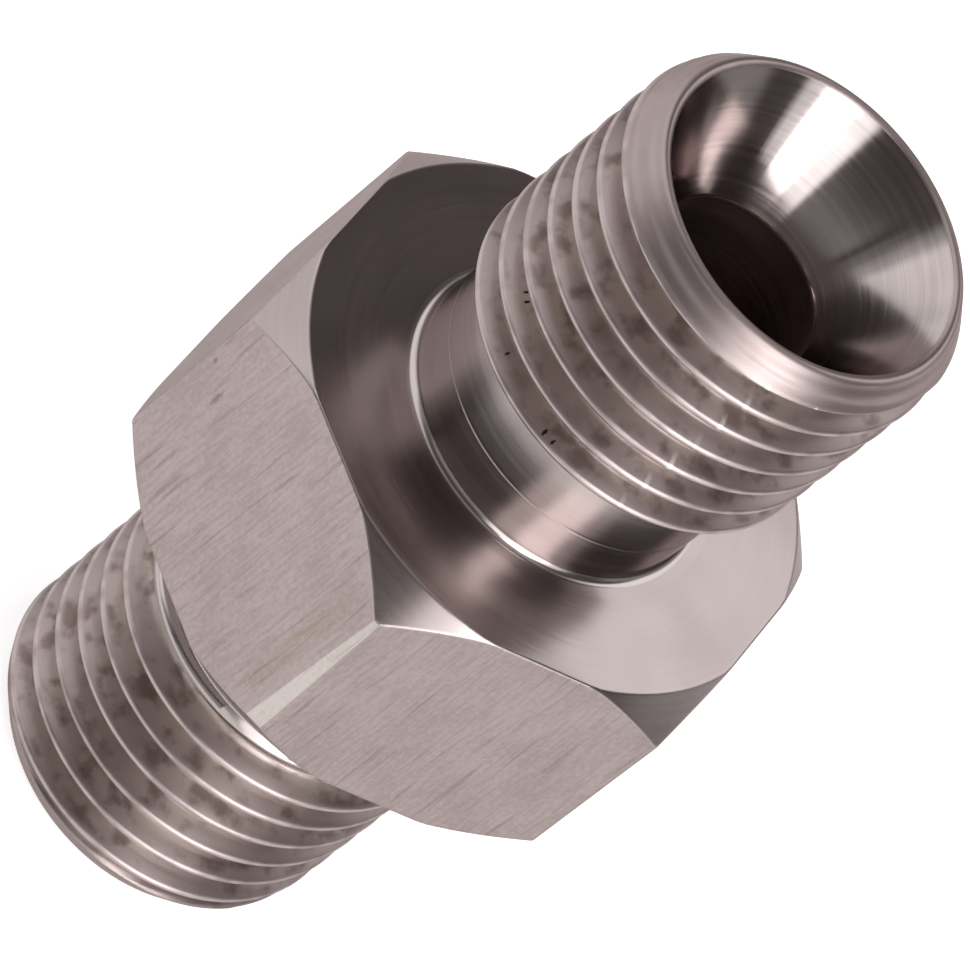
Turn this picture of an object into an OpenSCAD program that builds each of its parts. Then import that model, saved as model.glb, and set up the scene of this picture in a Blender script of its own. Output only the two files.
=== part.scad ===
// Hex nipple, one turned piece of stainless bar: a parallel 1/4 inch pipe thread
// on both ends, a 60 degree seat cone in each mouth and a bore right through.
// The threads are rings of their true section, without the helix's climb.
// It stands on the rim of its lower end; the axis is Z and one corner faces -Y.

/* [Thread] */
// Diameter over the thread crests
thread_d = 13.157; // [12.8:0.001:14]
// Height of the thread crests' wall, from the run-out cone to the tip chamfer
thread_l = 8.1; // [6:0.05:12]
// Distance between the upper thread's crests
upper_pitch = 1.337; // [1.1:0.001:1.6]
// Distance between the lower thread's crests
lower_pitch = 1.4; // [1.1:0.001:1.6]
// Depth of the grooves
groove_depth = 0.856; // [0.3:0.001:0.9]
// Angle of each flank to the plane across the axis
flank_angle = 27.5; // [20:0.5:30]
// Distance of the upper thread's first groove from its tip
upper_start = 1.8; // [1.75:0.05:2.6]
// Distance of the lower thread's first groove from its tip
lower_start = 2.18; // [1.75:0.01:2.6]
// Diameter of the rim's outer edge, where the tip chamfer ends
rim_d = 11.65; // [11.3:0.05:12.4]
// Height of the tip chamfer
tip_l = 1.1; // [0.6:0.05:2]

/* [Neck] */
// Diameter of the relief between thread and hexagon
neck_d = 11.2; // [10:0.05:11.8]
// Height of the plain neck, up to where the run-out cone starts
neck_l = 4.25; // [2:0.05:6]
// Angle of the run-out cone's wall to the axis
runout_angle = 60; // [40:1:75]
// Radius of the fillet where the neck meets the hexagon
neck_r = 0.3; // [0.1:0.05:0.6]

/* [Hexagon] */
// Width across the flats
hex_w = 19; // [17:0.05:24]
// Height of the hexagon
hex_l = 9.9; // [6:0.05:14]
// Diameter of the turned face on each side of the hexagon
face_d = 19.35; // [15:0.05:19.6]
// Height of the chamfer at the corners
chamfer_l = 1.5; // [0.5:0.05:2.5]
// Width of the worn strip along the front corner, at its upper end
worn_top_w = 0.25; // [0.05:0.05:0.6]
// Width of the same strip at its lower end
worn_low_w = 0.65; // [0.05:0.05:1.4]

/* [Bore] */
// Diameter of the bore
bore_d = 6.2; // [3:0.05:8]
// Diameter of the seat cone at the mouth
mouth_d = 11; // [9:0.05:11.2]
// Full angle of the seat cone
seat_angle = 60; // [40:1:90]

/* [Hidden] */
$fn = 96;

// The run-out cone climbs from the neck to the crests
runout_l = (thread_d - neck_d) / 2 / tan(runout_angle);
end_l = tip_l + thread_l + runout_l + neck_l;
total_l = 2 * end_l + hex_l;
seat_l = (mouth_d - bore_d) / 2 / tan(seat_angle / 2);
corner_d = hex_w / cos(30);

// Depth that a corner of 120 degrees loses to a flat strip of width w
function strip_depth(w) = w / 2 / tan(60);

// A groove's four corners, radius against height, with its middle at height z
function groove(z, pitch) =
    let (flank = groove_depth * tan(flank_angle), root_r = thread_d / 2 - groove_depth) [
        [thread_d / 2, z - pitch / 4 - flank / 2], [root_r, z - pitch / 4 + flank / 2],
        [root_r, z + pitch / 4 - flank / 2], [thread_d / 2, z + pitch / 4 + flank / 2]];

// All grooves that fit between the tip chamfer and the run-out cone
function grooves(start, pitch) =
    let (last = tip_l + thread_l - pitch / 4 - groove_depth * tan(flank_angle) / 2)
    [for (z = [start:pitch:last]) each groove(z, pitch)];

// One end as a half section, radius against height, from the tip up to the
// hexagon's face, where the fillet flares out
function end_section(start, pitch) = concat(
    [[0, 0], [rim_d / 2, 0], [thread_d / 2, tip_l]], grooves(start, pitch),
    [[thread_d / 2, tip_l + thread_l], [neck_d / 2, tip_l + thread_l + runout_l],
    [neck_d / 2, end_l - neck_r], [neck_d / 2 + neck_r, end_l]]);

// Both ends in one turned core, which runs through the hexagon
module turned_core() {
    lower = end_section(lower_start, lower_pitch);
    upper = end_section(upper_start, upper_pitch);
    turned_over = [for (i = [len(upper) - 1:-1:0]) [upper[i][0], total_l - upper[i][1]]];
    rotate_extrude() difference() {
        polygon(concat(lower, turned_over));
        for (z = [end_l - neck_r, total_l - end_l + neck_r])
            translate([neck_d / 2 + neck_r, z]) circle(r = neck_r);
    }
}

// Hexagon with a corner to the front, its corners turned off at both faces
module hexagon() {
    slope = (corner_d - face_d) / 2 / chamfer_l;
    // The turned blank's radius at mid height, far enough out to miss the corners
    wide_d = face_d + hex_l * slope;
    intersection() {
        rotate(30) cylinder(d = corner_d, h = hex_l, $fn = 6);
        union() {
            cylinder(d1 = face_d, d2 = wide_d, h = hex_l / 2);
            translate([0, 0, hex_l / 2]) cylinder(d1 = wide_d, d2 = face_d, h = hex_l / 2);
        }
    }
}

// Strip worn off the front corner: a slanted cut, deeper at the bottom
module worn_strip() {
    low = strip_depth(worn_low_w);
    slant = atan((low - strip_depth(worn_top_w)) / (hex_l - 2 * chamfer_l));
    translate([0, low - corner_d / 2, end_l + chamfer_l]) rotate([slant, 0, 0])
        translate([-hex_w / 2, -hex_w, -hex_l]) cube([hex_w, hex_w, 3 * hex_l]);
}

// Bore with a seat cone at each mouth
module bore_cut() {
    translate([0, 0, -1]) cylinder(d = bore_d, h = total_l + 2);
    for (top = [0, 1]) translate([0, 0, top * total_l]) mirror([0, 0, top])
        cylinder(d1 = mouth_d, d2 = bore_d, h = seat_l);
}

// The whole connector, one solid
module connector_body() {
    color("#a59895") difference() {
        union() {
            turned_core();
            translate([0, 0, end_l]) hexagon();
        }
        worn_strip();
        bore_cut();
    }
}

connector_body();
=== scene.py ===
"""Looks of a hose connector: a turned stainless nipple with two pipe threads, two seat cones and a hexagon.

The connector is one closed mesh, put together from bands that go round its axis Z. Every band is a grid. Its
columns stand at the same azimuths all the way up, but for the few that follow the edges of the worn strip.
Its rows follow the turned profile, or the helix where a thread is cut. Sizes are in metres, in the frame of
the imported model.
"""
import bmesh
import bpy
import numpy as np
from mathutils import Matrix, Vector


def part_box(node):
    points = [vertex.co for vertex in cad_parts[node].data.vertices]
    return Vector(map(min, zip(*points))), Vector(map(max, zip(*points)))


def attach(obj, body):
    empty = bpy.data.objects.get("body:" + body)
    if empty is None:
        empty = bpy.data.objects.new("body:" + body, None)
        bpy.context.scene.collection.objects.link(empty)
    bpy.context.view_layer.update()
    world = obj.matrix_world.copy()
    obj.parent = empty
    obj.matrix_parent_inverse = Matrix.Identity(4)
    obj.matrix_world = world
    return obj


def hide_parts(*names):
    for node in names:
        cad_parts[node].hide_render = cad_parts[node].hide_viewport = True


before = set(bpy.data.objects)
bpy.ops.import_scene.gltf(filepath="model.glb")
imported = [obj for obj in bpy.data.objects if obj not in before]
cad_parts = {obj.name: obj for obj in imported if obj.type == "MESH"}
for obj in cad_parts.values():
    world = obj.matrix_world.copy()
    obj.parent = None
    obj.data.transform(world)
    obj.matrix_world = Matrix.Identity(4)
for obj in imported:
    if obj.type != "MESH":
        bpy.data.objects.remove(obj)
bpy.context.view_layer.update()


# Hexagon
# The bar that the connector is turned from: drawn 19 mm hexagon in stainless steel, left as drawn on its six
# flats. Both ends are faced, and its corners are turned off to a shallow cone at each face. One corner has a
# pale strip where it has rubbed.
MM = 0.001
body_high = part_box("connector_body")[1]
total_length = body_high.z
flat_radius = body_high.x
corner_radius = flat_radius / np.cos(np.pi / 6)
hexagon_length = 9.9 * MM
low_face = (total_length - hexagon_length) / 2
high_face = low_face + hexagon_length
face_radius = 9.675 * MM
chamfer_length = 1.5 * MM
chamfer_slope = (corner_radius - face_radius) / chamfer_length
corner_round = 0.12 * MM
edge_break = 0.05 * MM
worn_top_width = 0.25 * MM
worn_low_width = 0.65 * MM
worn_deg = -90
worn_column = 4
worn_reach_deg = 7.5

# Columns crowd at the corners of the hexagon, by the square of the step: 40 to each of its sides
half_side = 20
steps = np.arange(-half_side, half_side) / half_side
corner_offsets = 30 * np.sign(steps) * steps**2
column_deg = (worn_deg + 60 * np.arange(-2, 4)[:, None] + corner_offsets).ravel()
column_deg = np.append(column_deg, column_deg[0] + 360)
azimuth = np.radians(column_deg)
off_worn_deg = (column_deg - worn_deg + 180) % 360 - 180
worn_edge_deg = corner_offsets[half_side + worn_column]


def from_corner(angle):
    """Angle to the nearest corner of the hexagon: the azimuth less the nearest of 30, 90, 150 ... degrees."""
    return (angle - np.radians(worn_deg) + np.pi / 6) % (np.pi / 3) - np.pi / 6


def bar_radius(angle):
    """Radius of the drawn bar: the flat's distance over the cosine of the angle to the flat's middle, and
    near a corner the far side of a small circle that touches both flats."""
    off = np.abs(from_corner(angle))
    flat = flat_radius / np.cos(np.pi / 6 - off)
    centre = (flat_radius - corner_round) / np.cos(np.pi / 6)
    inside = np.maximum(corner_round**2 - (centre * np.sin(off))**2, 0)
    rounded = centre * np.cos(off) + np.sqrt(inside)
    touches = np.arctan2(corner_round * 0.5, centre + corner_round * np.cos(np.pi / 6))
    return np.where(off < touches, rounded, flat)


def worn_width(z):
    """Width of the worn strip: a straight run between its two widths over the height of the bare corner."""
    bare_corner = [low_face + chamfer_length, high_face - chamfer_length]
    return np.interp(z, bare_corner, [worn_low_width, worn_top_width])


def worn_shift(z):
    """Azimuths at height z, moved near the worn corner so that one column follows the strip's edge: the
    angle off the corner is stretched to put that column at half the strip's width, and the stretch fades
    out evenly over the strip's reach."""
    off = off_worn_deg
    edge = np.degrees(worn_width(z) / 2 / corner_radius)
    inner = off * edge / worn_edge_deg
    fade = (np.abs(off) - worn_edge_deg) / (worn_reach_deg - worn_edge_deg)
    outer = np.sign(off) * (edge + fade * (worn_reach_deg - edge))
    past_edge = np.where(np.abs(off) < worn_reach_deg, outer, off)
    moved = np.where(np.abs(off) <= worn_edge_deg, inner, past_edge)
    return np.radians(column_deg - off + moved)


def worn_bar(angle, z):
    """Radius of the bar with its strip: the lesser of the bar's and a plane's across the worn corner, which
    cuts off half the strip's width over the tangent of 60 degrees. The plane's radius is its distance over
    the cosine of the angle, which is held from where the plane has left the bar."""
    held_cosine = 0.9
    toward = np.maximum(np.cos(angle - np.radians(worn_deg)), held_cosine)
    plane = (corner_radius - worn_width(z) / 2 / np.tan(np.pi / 3)) / toward
    return np.minimum(bar_radius(angle), plane)


def ring(angle, radius, z):
    """Points of a band: x and y are the radius times cosine and sine of the azimuth, z is the height."""
    angle, radius, z = np.broadcast_arrays(angle, radius, z)
    return np.stack([radius * np.cos(angle), radius * np.sin(angle), z], axis=-1)


def broken(points, size):
    """A band with its inner rows of corners broken: each row gives way to four, at one and three sizes before
    and after it along the profile, held within two fifths of the way to the next row."""
    furthest = 0.13
    rows = [points[:1]]
    for before, here, after in zip(points[:-2], points[1:-1], points[2:]):
        for neighbour, times in ((before, 3), (before, 1), (after, 1), (after, 3)):
            way = neighbour - here
            share = np.minimum(size / np.linalg.norm(way, axis=-1, keepdims=True), furthest)
            rows.append((here + way * share * times)[None])
    return np.concatenate(rows + [points[-1:]])


def chamfered_side(face_z, inward):
    """The turned face's edge and the chamfer's end on the bar, as two rows. The face ends at its own radius
    or just short of the flat. The cone's depth is the bar's radius less the face's over the slope, found in
    three rounds because the worn strip changes with the height."""
    depth = np.full_like(azimuth, chamfer_length)
    for _ in range(3):
        angle = worn_shift(face_z + inward * depth)
        bar = worn_bar(angle, face_z + inward * depth)
        depth = np.maximum(edge_break, (bar - face_radius) / chamfer_slope)
    edge = ring(azimuth, np.minimum(face_radius, bar - edge_break), face_z)
    arc = ring(angle, bar, face_z + inward * depth)
    return edge, arc


low_edge, low_arc = chamfered_side(low_face, 1)
high_edge, high_arc = chamfered_side(high_face, -1)
flat_rows = []
for share in (0.25, 0.5, 0.75):
    z = low_arc[:, 2] + share * (high_arc[:, 2] - low_arc[:, 2])
    angle = worn_shift(z)
    flat_rows.append(ring(angle, worn_bar(angle, z), z)[None])

# Necks
# A relief turned between each thread and the hexagon, with a small fillet at its root. A tool mark runs
# round the upper one.
neck_radius = 5.6 * MM
neck_length = 4.25 * MM
fillet_radius = 0.3 * MM
past_fillet = 1.4 * fillet_radius
before_end = 0.1 * MM
mark_z = high_face + 2.0 * MM
mark_width = 0.1 * MM
mark_depth = 0.02 * MM
hexagon_break = 0.035 * MM
fillet_turn = np.linspace(0, np.pi / 2, 7)[:, None]
face_shares = np.array([0.15, 0.4, 0.65, 0.85])[:, None]


def fillet(face_z, outward):
    """Rows of the fillet from face to neck: a quarter circle, its centre a fillet radius out and up."""
    radius = neck_radius + fillet_radius - fillet_radius * np.sin(fillet_turn)
    z = face_z + outward * fillet_radius * (1 - np.cos(fillet_turn))
    return ring(azimuth, radius, z)


def face_rows(edge, face_z):
    """Rows of the turned face from the fillet to its edge, each at its share of the way."""
    start = neck_radius + fillet_radius
    radius = start + face_shares * (np.hypot(edge[:, 0], edge[:, 1]) - start)
    return ring(azimuth, radius, face_z)


def neck_rows(*heights):
    """Rows of the plain neck, one at each height."""
    return ring(azimuth, neck_radius, np.array(heights)[:, None])


low_neck_end = low_face - neck_length
high_neck_end = high_face + neck_length
mark_rows = ring(
    azimuth,
    neck_radius - mark_depth * np.array([0, 0, 1, 0, 0])[:, None],
    mark_z + mark_width * np.array([-1, -0.5, 0, 0.5, 1])[:, None])
low_neck = np.concatenate([
    neck_rows(low_neck_end, low_neck_end + before_end, low_face - past_fillet),
    fillet(low_face, -1)[::-1], face_rows(low_edge, low_face)])
high_neck = np.concatenate([
    face_rows(high_edge, high_face)[::-1], fillet(high_face, 1),
    neck_rows(high_face + past_fillet), mark_rows, neck_rows(high_neck_end - before_end, high_neck_end)])
hexagon = broken(np.concatenate([
    low_neck[-1:], low_edge[None], low_arc[None], *flat_rows, high_arc[None], high_edge[None], high_neck[:1]
]), hexagon_break)

# Threads
# A right-handed pipe thread on each end, with crests rubbed round and wider round roots. It starts behind
# the tip chamfer and runs out into the neck. The lower one's crests lie further apart.
TURN = 2 * np.pi
thread_radius = 6.5785 * MM
runout_slope = np.tan(np.pi / 3)
runout_length = (thread_radius - neck_radius) / runout_slope
tip_length = 1.1 * MM
rim_radius = 5.825 * MM
tip_slope = (thread_radius - rim_radius) / tip_length
nose_length = 0.09 * MM
upper_thread = {"pitch": 1.337 * MM, "crest": high_face + 9.009 * MM, "crest_deg": -97}
lower_thread = {"pitch": 1.40 * MM, "crest": 5.68 * MM, "crest_deg": -100}
cut_depth = 0.8561 * MM
crest_round = 0.16 * MM
root_round = 0.27 * MM
groove_past_crests = 0.2 * MM
groove_fade = 0.35 * MM
arc_shares = np.array([-1, -0.77, -0.4, 0, 0.4, 0.77, 1])


def flank_angle(pitch):
    """Angle F of the flank to the plane across the axis, at which it runs into both arcs without a kink: half
    the pitch x cos F - (cut - S) x sin F = S, where S is the sum of the arcs' radii."""
    both = crest_round + root_round
    return np.arccos(both / np.hypot(pitch / 2, cut_depth - both)) - np.arctan2(cut_depth - both, pitch / 2)


def groove_depth(x, pitch):
    """Depth below the crest at a distance x along the axis from it: an arc at the crest, a straight flank and
    an arc at the root, each arc meeting the flank where its slope is the flank's."""
    flank = flank_angle(pitch)
    half = pitch / 2
    crest_x = crest_round * np.cos(flank)
    crest_y = crest_round * (1 - np.sin(flank))
    root_x = half - root_round * np.cos(flank)
    root_y = cut_depth - root_round * (1 - np.sin(flank))
    at_crest = crest_round - np.sqrt(np.maximum(crest_round**2 - x**2, 0))
    at_root = cut_depth - root_round + np.sqrt(np.maximum(root_round**2 - (half - x)**2, 0))
    straight = crest_y + (x - crest_x) / (root_x - crest_x) * (root_y - crest_y)
    return np.where(x < crest_x, at_crest, np.where(x > root_x, at_root, straight))


def thread_band(thread, start, end, start_radius, slope, groove_end):
    """Rows that climb with the helix: height = crest + pitch x (row + azimuth / full turn), held between the
    heights where the band starts and ends. The radius is the lesser of the blank's, which changes evenly from
    the start, and the thread's, whose groove fades out over the last stretch before `groove_end`."""
    pitch = thread["pitch"]
    crest = thread["crest"]
    low, high = min(start, end), max(start, end)
    arc_phases = arc_shares * np.cos(flank_angle(pitch)) / pitch
    phases = np.concatenate([crest_round * arc_phases, [0.25], 0.5 + root_round * arc_phases, [0.75]])
    around = (azimuth - np.radians(thread["crest_deg"])) / TURN
    first = np.floor((low - crest) / pitch - around.max()) - 1
    last = np.ceil((high - crest) / pitch - around.min()) + 1
    turns = (np.arange(first, last)[:, None] + phases).ravel()
    z = np.clip(crest + pitch * (turns[:, None] + around), low, high)
    off_crest = (z - crest) / pitch - around
    x = np.abs(off_crest - np.round(off_crest)) * pitch
    kept = np.clip((groove_end - z) * np.sign(end - start) / groove_fade, 0, 1)
    blank = start_radius + np.abs(z - start) * slope
    return ring(azimuth, np.minimum(blank, thread_radius - groove_depth(x, pitch) * kept), z)


def threaded_end(thread, neck_end, tip_z, rises):
    """The three bands of a threaded end, which climbs up or down: run-out cone, crests and tip chamfer."""
    crest_start = neck_end + rises * runout_length
    crest_end = tip_z - rises * tip_length
    nose = tip_z - rises * nose_length
    stretches = ((neck_end, crest_start, neck_radius, runout_slope),
                 (crest_start, crest_end, thread_radius, 0),
                 (crest_end, nose, thread_radius, -tip_slope))
    groove_end = crest_end + rises * groove_past_crests
    return [thread_band(thread, *stretch, groove_end) for stretch in stretches]


upper_bands = threaded_end(upper_thread, high_neck_end, total_length, 1)
lower_bands = threaded_end(lower_thread, low_neck_end, 0, -1)

# Seat cones and bore
# A 60 degree cone is cut in each mouth for the hose end's nose, and the bore goes straight through. The rim
# between cone and tip chamfer is worn round.
mouth_radius = 5.55 * MM
bore_radius = 3.1 * MM
seat_slope = np.tan(np.pi / 6)
seat_depth = (mouth_radius - bore_radius) / seat_slope
nose_out = rim_radius + nose_length * tip_slope
nose_in = mouth_radius - nose_length * seat_slope
across_nose = np.linspace(1, -1, 11)[:, None]
inside_break = 0.04 * MM


def rim_nose(tip_z, rises):
    """Rows of the rim from the chamfer to the cone: the height falls from the tip by the square of the share
    of the way from the rim's middle to its edge."""
    radius = (nose_out + nose_in) / 2 + across_nose * (nose_out - nose_in) / 2
    return ring(azimuth, radius, tip_z - rises * nose_length * across_nose**2)


high_rim = rim_nose(total_length, 1)
low_rim = rim_nose(0, -1)[::-1]
bore_z = np.array([total_length - seat_depth, total_length / 2, seat_depth])[:, None]
bore_rows = ring(azimuth, bore_radius, bore_z)
inside = broken(np.concatenate([high_rim[-1:], bore_rows, low_rim[:1]]), inside_break)

# Connector
# All bands are joined into one closed mesh, as the real one is one piece of steel. Every face takes the
# finish of the tool that made it.
FLATS, CHAMFERS, FACES, NECKS, THREADS, SEATS, WORN, BORE = range(8)
same_point = 0.0008 * MM
off_cone = 0.03 * MM
past_bore = 0.01 * MM
part_of_column_deg = 0.01


def join_bands(name, bands):
    """One mesh from grids of points: each grid gives its quads, and points that coincide are merged."""
    points, quads, finishes, first = [], [], [], 0
    for grid, finish in bands:
        rows, columns = grid.shape[:2]
        index = first + np.arange(rows * columns).reshape(rows, columns)
        corners = [index[:-1, :-1], index[:-1, 1:], index[1:, 1:], index[1:, :-1]]
        quads.append(np.stack(corners, -1).reshape(-1, 4))
        finishes.append(np.broadcast_to(finish, (rows - 1, columns - 1)).ravel())
        points.append(grid.reshape(-1, 3))
        first += rows * columns
    mesh = bpy.data.meshes.new(name)
    mesh.from_pydata(np.concatenate(points), [], np.concatenate(quads))
    mesh.polygons.foreach_set("material_index", np.concatenate(finishes).astype(np.int32))
    mesh.polygons.foreach_set("use_smooth", np.ones(len(mesh.polygons), bool))
    work = bmesh.new()
    work.from_mesh(mesh)
    bmesh.ops.remove_doubles(work, verts=work.verts, dist=same_point)
    bmesh.ops.recalc_face_normals(work, faces=work.faces)
    work.to_mesh(mesh)
    work.free()
    return mesh


def hexagon_finish():
    """Finish of each quad of the hexagon's band: chamfer where the radius is the cone's at that depth, face
    within half the broken edge, worn strip from its one edge column to the other, and flat elsewhere."""
    middle = (hexagon[:-1, :-1] + hexagon[1:, 1:]) / 2
    depth = np.minimum(middle[..., 2] - low_face, high_face - middle[..., 2])
    radius = np.hypot(middle[..., 0], middle[..., 1])
    on_cone = np.abs(radius - face_radius - depth * chamfer_slope) < off_cone
    chamfer = on_cone & (depth < 1.1 * chamfer_length)
    finish = np.where(chamfer, CHAMFERS, np.where(depth < edge_break / 2, FACES, FLATS))
    worn = np.abs(off_worn_deg[:-1] + part_of_column_deg) < worn_edge_deg
    return np.where((finish == FLATS) & worn, WORN, finish)


def neck_finish(rows):
    """Finish of each row of quads from the hexagon's face outwards: the turned face's, then the neck's."""
    return np.where(np.arange(len(rows) - 1) < len(face_shares), FACES, NECKS)[:, None]


def inside_finish():
    """Finish of each row of quads of the inside: seat where its middle lies out past the bore, or bore."""
    radius = np.hypot(inside[:, 0, 0], inside[:, 0, 1])
    middle = (radius[:-1] + radius[1:]) / 2
    return np.where(middle > bore_radius + past_bore, SEATS, BORE)[:, None]


bands = [(lower_bands[0], NECKS), (upper_bands[0], NECKS)]
bands += [(grid, THREADS) for grid in [*lower_bands[1:], *upper_bands[1:], low_rim, high_rim]]
bands += [(low_neck, neck_finish(low_neck)[::-1]),
          (hexagon, hexagon_finish()),
          (high_neck, neck_finish(high_neck)),
          (inside, inside_finish())]
connector = bpy.data.objects.new("connector", join_bands("connector", bands))
bpy.context.scene.collection.objects.link(connector)


class Value:
    """A value in a shader: one socket of a finish. Arithmetic on it adds Math nodes."""

    def __init__(self, finish, socket):
        self.finish, self.socket = finish, socket

    def __add__(self, other):
        return self.finish.maths("ADD", self, other)

    def __mul__(self, other):
        return self.finish.maths("MULTIPLY", self, other)

    def __sub__(self, other):
        return self.finish.maths("SUBTRACT", self, other)

    def __rsub__(self, other):
        return self.finish.maths("SUBTRACT", other, self)

    def __truediv__(self, other):
        return self.finish.maths("DIVIDE", self, other)

    def __pow__(self, power):
        return self.finish.maths("POWER", self, power)

    def __abs__(self):
        return self.finish.maths("ABSOLUTE", self)

    __radd__ = __add__
    __rmul__ = __mul__

    def between(self, low, high):
        """0 at low and 1 at high, which may be the lesser, with a smooth step from one to the other."""
        return self.finish.node("ShaderNodeMapRange", {"interpolation_type": "SMOOTHSTEP"},
                                {"Value": self, "From Min": low, "From Max": high})


class Finish:
    """A material or world, and the nodes that are added to it."""

    def __init__(self, owner):
        owner.use_nodes = True
        self.owner, self.tree = owner, owner.node_tree
        self.tree.nodes.clear()

    def node(self, kind, settings=None, sockets=(), output=0):
        """Adds a node: its settings first, then the value or link of each socket, by number or by name. It
        gives the value of one output, by number or by name too."""
        made = self.tree.nodes.new(kind)
        for name, value in (settings or {}).items():
            setattr(made, name, value)
        pairs = sockets.items() if isinstance(sockets, dict) else enumerate(sockets)
        for name, value in pairs:
            if isinstance(value, Value):
                self.tree.links.new(value.socket, made.inputs[name])
            else:
                made.inputs[name].default_value = value
        return Value(self, made.outputs[output]) if len(made.outputs) else None

    def maths(self, operation, *values):
        """A number worked out by a Math node."""
        return self.node("ShaderNodeMath", {"operation": operation}, values)

    def part(self, vector, number):
        """One part of a vector: 0 for its x, 1 for its y and 2 for its z."""
        return self.node("ShaderNodeSeparateXYZ", sockets=[vector], output=number)

    def joined(self, x, y, z):
        """A vector of three numbers."""
        return self.node("ShaderNodeCombineXYZ", sockets=[x, y, z])

    def noise(self, vector, detail=2.0, rough=0.5):
        """Noise about a half, as a number. What each part of the vector is multiplied by says how fine the
        noise is that way: about so many marks to a millimetre, or to a degree of azimuth."""
        return self.node("ShaderNodeTexNoise", {"noise_dimensions": "3D"},
                         {"Vector": vector, "Scale": 1.0, "Detail": detail, "Roughness": rough})

    def mixed(self, share, one, other):
        """A colour between two, by a share from 0 to 1. A Mix node's colours are its sockets 6 and 7."""
        return self.node("ShaderNodeMix", {"data_type": "RGBA"}, {0: share, 6: one, 7: other}, output=2)


# Colours of the metal, the darker before the lighter of each finish
SHADED = (0.33, 0.272, 0.265, 1)
DRAWN = (0.415, 0.35, 0.34, 1)
TURNED = (0.33, 0.285, 0.278, 1)
FACED = (0.385, 0.33, 0.322, 1)
RELIEVED = (0.40, 0.355, 0.345, 1)
BRIGHT = (0.45, 0.40, 0.392, 1)
CUT = (0.345, 0.286, 0.279, 1)
# Crests: rubbed metal, and lighter too as a painted highlight along the crests
CREST_RUB_AND_SHEEN = (0.46, 0.393, 0.383, 1)
WORN_PALE = (0.47, 0.425, 0.40, 1)
WORN_WHITE = (0.55, 0.50, 0.475, 1)
BORE_DARK = (0.26, 0.17, 0.17, 1)
BORE_LIGHT = (0.42, 0.29, 0.28, 1)
EDGE_TINT = (0.55, 0.5, 0.5, 1)

# Colours of what has been left on it or knocked out of it, and the near white of the painted glints on the
# crests
BROWN = (0.17, 0.127, 0.115, 1)
OIL_STREAK = (0.26, 0.20, 0.145, 1)
OIL_FILM = (0.42, 0.352, 0.318, 1)
PIT = (0.03, 0.02, 0.018, 1)
CHIP_AND_GLINT_WHITE = (0.85, 0.8, 0.76, 1)

# Single marks: azimuth in degrees, then height, size and the wall's radius in millimetres, and on the flats
# how many times as tall as wide
high_face_mm = high_face / MM
FLAT_NICKS = [(-148.6, 20.23, 0.11, 10.8, 1.5), (-143.4, 19.6, 0.13, 10.4, 4)]
STREAK = (-95.6, 19.0, 0.5, 10.6, 8)
THREAD_PITS = [(-137.9, high_face_mm + 6.60, 0.07, 5.96), (-134.5, high_face_mm + 6.59, 0.07, 6.0),
               (-123.7, high_face_mm + 5.22, 0.06, 6.14), (-97.6, high_face_mm + 5.20, 0.08, 6.32),
               (-94.0, high_face_mm + 5.21, 0.07, 6.33)]
THREAD_CHIP = (-51.4, high_face_mm + 12.98, 0.15, 6.57)
# Row of painted highlights on the upper thread's crests, drawn as nicks where the crests mirror the strip
# light: its azimuth in degrees and its lowest height in millimetres
GLINT_ROW_DEG = -67.6
GLINT_ROW_FROM = high_face_mm + 5.0
TIP_RING_PITCH = 0.5

# The way of a tool's marks, as the share of a turn by which the stretch of highlights is turned
ALONG = 0.0
ROUND = 0.25


class Steel(Finish):
    """Stainless steel in one finish. Its patterns are drawn by each point's place and radius in millimetres
    and its azimuth in degrees."""

    def __init__(self, name):
        super().__init__(bpy.data.materials.new(name))
        place = self.node("ShaderNodeTexCoord", output="Object")
        self.x, self.y, self.z = (self.part(place, number) / MM for number in range(3))
        self.radius = (self.x * self.x + self.y * self.y) ** 0.5
        self.azimuth = self.maths("ARCTAN2", self.y, self.x) * (180 / np.pi)
        self.ragged = self.noise(self.joined(self.x * 11, self.y * 11, self.z * 11), 1.0) * 0.16 - 0.08

    def spot(self, azimuth_deg, z, size, radius, tall=1):
        """1 inside a small ragged spot on a wall of that radius, and 0 from its size outwards. It is so many
        times as tall as wide."""
        across = (self.azimuth - azimuth_deg) * (radius * np.pi / 180)
        along = (self.z - z) / tall
        away = (across * across + along * along) ** 0.5 + self.ragged * (size * 6)
        return 1 - away.between(size * 0.4, size)

    def end(self, colour, roughness, height, stretch, way):
        """Closes the material: bare metal with the height of its marks in millimetres, and with highlights
        that are stretched across the way its marks go."""
        bumps = self.node("ShaderNodeBump", sockets={"Height": height, "Distance": MM, "Strength": 1.0})
        metal = self.node("ShaderNodeBsdfPrincipled", sockets={
            "Base Color": colour, "Metallic": 1.0, "Roughness": roughness, "Anisotropic": stretch,
            "Anisotropic Rotation": way, "Specular Tint": EDGE_TINT, "Normal": bumps})
        self.node("ShaderNodeOutputMaterial", sockets={"Surface": metal})
        connector.data.materials.append(self.owner)


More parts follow.
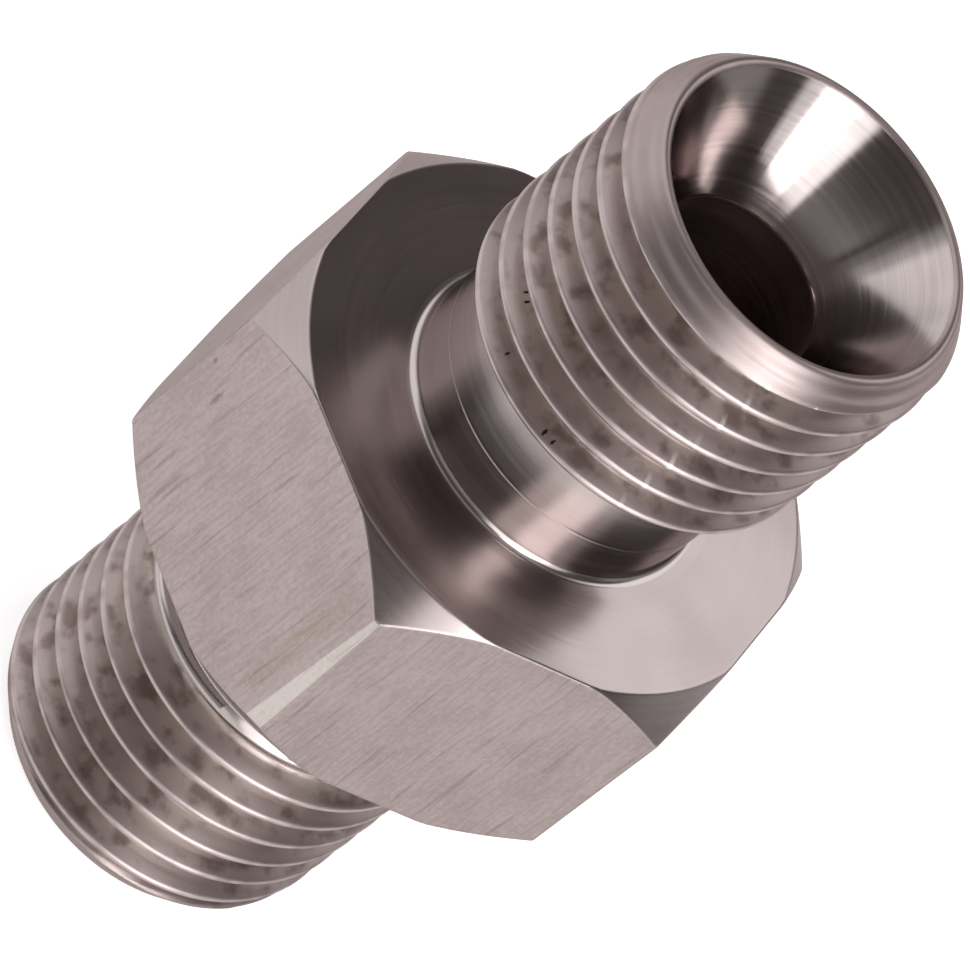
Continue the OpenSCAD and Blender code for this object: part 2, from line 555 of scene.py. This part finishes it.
def drawn_flats(name, dark, light):
    """Drawn bar: fine lines along the axis with specks over broad faint clouds, long scratches, two small
    nicks and a faint oily streak."""
    steel = Steel(name)
    across = steel.azimuth * (flat_radius / MM * np.pi / 180)
    lines = steel.noise(steel.joined(across * 9, steel.z * 0.6, 0), 3.0, 0.65)
    specks = steel.noise(steel.joined(across * 7, steel.z * 4, 3), 2.0, 0.6)
    clouds = steel.noise(steel.joined(across * 0.5, steel.z * 0.35, 7), 1.0)
    colour = steel.mixed((lines * 0.5 + specks * 0.3 + clouds * 0.2).between(0.38, 0.62), dark, light)
    scratches = steel.noise(steel.joined(across * 5, steel.z * 0.22, 11), 2.0).between(0.6, 0.7)
    nicks = sum(steel.spot(*nick) for nick in FLAT_NICKS)
    colour = steel.mixed(nicks * 0.6 + scratches * 0.35, colour, BROWN)
    streak = steel.spot(*STREAK) * lines.between(0.42, 0.58)
    colour = steel.mixed(streak * 0.55, colour, OIL_STREAK)
    steel.end(colour, roughness=lines * 0.15 + 0.36, height=lines * 0.009, stretch=0.4, way=ALONG)


def turned_faces(name, rough, lean_deg, ring_depth):
    """Faced steel: rings left by the tool, a paler cloud here and there, and a lean outwards by so many
    degrees, which is a height that falls by their tangent along the radius."""
    steel = Steel(name)
    rings = steel.noise(steel.joined(steel.radius * 5, steel.azimuth * 0.012, 3), 2.0, 0.6)
    cloud = steel.noise(steel.joined(steel.x * 0.35, steel.y * 0.35, steel.z * 0.35), 1.0)
    colour = steel.mixed((rings * 0.3 + cloud * 0.7).between(0.3, 0.7), TURNED, FACED)
    height = rings * ring_depth + steel.radius * -np.tan(np.radians(lean_deg))
    steel.end(colour, roughness=rings * 0.08 + rough, height=height, stretch=0.65, way=ROUND)


def turned_walls(name, dark, light, rough, fine, ring_depth, stretch):
    """Turned steel: rings left by the tool, one above the other, so many to the millimetre."""
    steel = Steel(name)
    rings = steel.noise(steel.joined(steel.z * fine, steel.azimuth * 0.006, 3), 1.5)
    cloud = steel.noise(steel.joined(steel.z * 0.8, steel.x * 0.3, steel.y * 0.3), 2.0)
    colour = steel.mixed((rings * 0.4 + cloud * 0.6).between(0.3, 0.7), dark, light)
    steel.end(colour, roughness=rings * 0.1 + rough, height=rings * ring_depth, stretch=stretch, way=ROUND)


def cut_threads(name):
    """Thread cut with a die: roots with a film of old oil, patches of dirt, crests lighter in patches as
    rubbed metal and as a painted highlight, a few pits, a chip, and a row of bright dashes painted across the
    upper thread's crests where they mirror the strip light, a painted highlight drawn as nicks. Shallow rings
    run round
    the tip chamfers: the height is the cosine of a full turn for each ring's pitch."""
    steel = Steel(name)
    middle = total_length / MM / 2
    sunk = thread_radius / MM - steel.radius
    from_tip = middle - abs(steel.z - middle)
    groove = from_tip.between(tip_length / MM - 0.25, tip_length / MM)
    rings = steel.noise(steel.joined(steel.z * 9, steel.azimuth * 0.02, 5), 1.0)
    cloud = steel.noise(steel.joined(steel.x * 0.5, steel.y * 0.5, steel.z * 0.5), 1.0)
    patches = steel.noise(steel.joined(steel.azimuth * 0.1, steel.z * 2.2, 9), 3.0)
    # Patches of rubbed metal, which also carry the painted highlight on the crests
    rub_and_sheen = steel.noise(steel.joined(steel.azimuth * 0.12, steel.z * 0.4, 2), 1.0)
    film = sunk.between(0.1, 0.75) * (cloud.between(0.35, 0.6) * 0.7 + 0.3) * groove
    colour = steel.mixed(film, CUT, OIL_FILM)
    dirt = patches.between(0.47, 0.68) * (sunk.between(0.02, 0.25) * 0.75 + 0.1) * (groove * 0.9 + 0.1)
    colour = steel.mixed(dirt, colour, BROWN)
    # Crests lighter in patches: rubbed metal, and partly a painted highlight along the crests
    crest = (1 - sunk.between(0.01, 0.12)) * rub_and_sheen.between(0.3, 0.6) * groove
    colour = steel.mixed(crest, colour, CREST_RUB_AND_SHEEN)
    pits = sum(steel.spot(*pit) for pit in THREAD_PITS)
    colour = steel.mixed(pits.between(0, 1), colour, PIT)
    # Painted highlight: bright dashes on the crests along the line where they mirror the strip light, drawn
    # as nicks; the chip beside them is fresh metal
    nicks = (1 - abs(steel.azimuth - GLINT_ROW_DEG).between(0.3, 1.1)) * (1 - sunk.between(0.1, 0.6))
    nicks = nicks * steel.z.between(GLINT_ROW_FROM, GLINT_ROW_FROM + 0.2) * rub_and_sheen.between(0.3, 0.6) * groove
    colour = steel.mixed(nicks * 0.6 + steel.spot(*THREAD_CHIP), colour, CHIP_AND_GLINT_WHITE)
    waves = steel.maths("COSINE", steel.z * (TURN / TIP_RING_PITCH))
    height = rings * 0.005 + waves * (1 - groove) * 0.012
    roughness = rings * 0.12 + 0.31 + film * 0.09 + patches * 0.06
    steel.end(colour, roughness, height, stretch=0.3, way=ROUND)


drawn_flats("drawn_flats", SHADED, DRAWN)
turned_faces("turned_chamfers", rough=0.23, lean_deg=0, ring_depth=0.002)
turned_faces("turned_faces", rough=0.15, lean_deg=7, ring_depth=0.003)
turned_walls("turned_necks", RELIEVED, BRIGHT, rough=0.16, fine=3, ring_depth=0.0005, stretch=0.5)
cut_threads("cut_threads")
turned_walls("seat_cones", TURNED, BRIGHT, rough=0.09, fine=8, ring_depth=0.0006, stretch=0.6)
drawn_flats("worn_corner", WORN_PALE, WORN_WHITE)
turned_walls("bore_wall", BORE_DARK, BORE_LIGHT, rough=0.35, fine=6, ring_depth=0.004, stretch=0.4)

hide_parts("connector_body")
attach(connector, "root")

# Floor
# A sheet of white paper that the connector stands on. It is seen white, and the metal sees it white too, but
# a part of its brightness is lit, so that it keeps the connector's shadow.
WHITE = (1, 1, 1, 1)
PAPER = (0.8, 0.8, 0.8, 1)
GLOW = 0.62
half_sheet = 1.5
sheet_corners = [(-half_sheet, -half_sheet, 0), (half_sheet, -half_sheet, 0),
                 (half_sheet, half_sheet, 0), (-half_sheet, half_sheet, 0)]
floor_mesh = bpy.data.meshes.new("floor")
floor_mesh.from_pydata(sheet_corners, [], [(0, 1, 2, 3)])
floor = bpy.data.objects.new("floor", floor_mesh)
bpy.context.scene.collection.objects.link(floor)
paper = Finish(bpy.data.materials.new("paper"))
seeing_rays = ("Is Camera Ray", "Is Glossy Ray", "Is Transmission Ray")
seen = sum(paper.node("ShaderNodeLightPath", output=kind) for kind in seeing_rays)
glow = paper.node("ShaderNodeEmission", sockets={"Color": WHITE, "Strength": seen * GLOW})
lit = paper.node("ShaderNodeBsdfDiffuse", sockets={"Color": PAPER})
both = paper.node("ShaderNodeAddShader", sockets=[glow, lit])
paper.node("ShaderNodeOutputMaterial", sockets={"Surface": both})
floor_mesh.materials.append(paper.owner)

# Light
# A small studio round the connector: a tall strip light with a softer one on each side, soft panels at the
# left, in front and behind, a ceiling, and a dim background. Each panel is a patch of the sky with soft
# edges: azimuth, half width, lowest and highest elevation and softness in degrees, then its strength.
BACKGROUND = 0.12
OVERHEAD = 0.32
overhead_from = 66
overhead_full = 74
WARM = (1, 0.87, 0.86, 1)
just_over_one = 1.000001
panels = {
    "key strip": (-47, 11, 0, 58, 6, 5.5),
    "beside the key, left": (-67, 9, 3, 44, 7, 2.4),
    "beside the key, right": (-30, 6, 3, 40, 7, 1.3),
    "over the key": (-8, 16, 60, 77, 8, 0.6),
    "front low": (-105, 31, -40, 28, 10, 0.30),
    "left panel": (163, 33, -10, 66, 10, 0.85),
    "left high": (170, 36, 14, 78, 12, 0.45),
    "left front": (-155, 12, -5, 30, 6, 0.2),
    "back panel": (53, 25, 22, 58, 10, 1.6),
    "back low": (75, 75, -20, 24, 10, 0.27),
}
sky = Finish(bpy.data.worlds.new("studio"))
direction = sky.node("ShaderNodeTexCoord", output="Generated")
up = sky.part(direction, 2)
elevation = sky.maths("ARCSINE", up) * (180 / np.pi)
level_length = (just_over_one - up * up) ** 0.5
brightness = elevation.between(overhead_from, overhead_full) * OVERHEAD + BACKGROUND
for facing_deg, half_width, lowest, highest, soft, strength in panels.values():
    facing = np.radians(facing_deg)
    middle = (np.cos(facing), np.sin(facing), 0)
    toward = sky.node("ShaderNodeVectorMath", {"operation": "DOT_PRODUCT"}, [direction, middle], "Value")
    outer, inner = np.cos(np.radians([half_width + soft / 2, half_width - soft / 2]))
    sides = (toward / level_length).between(outer, inner)
    half_height = (highest - lowest) / 2
    off_middle = abs(elevation - (lowest + half_height))
    rise = off_middle.between(half_height + soft / 2, half_height - soft / 2)
    brightness = sides * rise * strength + brightness
camera_ray = sky.node("ShaderNodeLightPath", output="Is Camera Ray")
shown = camera_ray + (1 - camera_ray) * brightness
tint = sky.mixed(shown.between(0.05, 0.45), WARM, WHITE)
background = sky.node("ShaderNodeBackground", sockets={"Color": tint, "Strength": shown})
sky.node("ShaderNodeOutputWorld", sockets={"Surface": background})
bpy.context.scene.world = sky.owner

# Camera
# It looks down on the connector from the side of the worn corner, turned about its own axis so that the
# connector's axis climbs to the right.
camera_at = Vector((-26.385, -216.728, 223.477)) * MM
looks_along = Vector((0.08852, 0.72579, -0.6822))
camera_up = Vector((-0.72327, 0.51774, 0.45697))
focal_length_px = 9148
picture_width_px = 970
camera = bpy.data.objects.new("camera", bpy.data.cameras.new("camera"))
camera.data.sensor_width = 36
camera.data.lens = camera.data.sensor_width * focal_length_px / picture_width_px
right = looks_along.cross(camera_up).normalized()
level_up = right.cross(looks_along).normalized()
turn = Matrix((right, level_up, -looks_along.normalized())).transposed().to_4x4()
camera.matrix_world = Matrix.Translation(camera_at) @ turn
bpy.context.scene.collection.objects.link(camera)
bpy.context.scene.camera = camera
bpy.context.scene.view_settings.view_transform = "Standard"
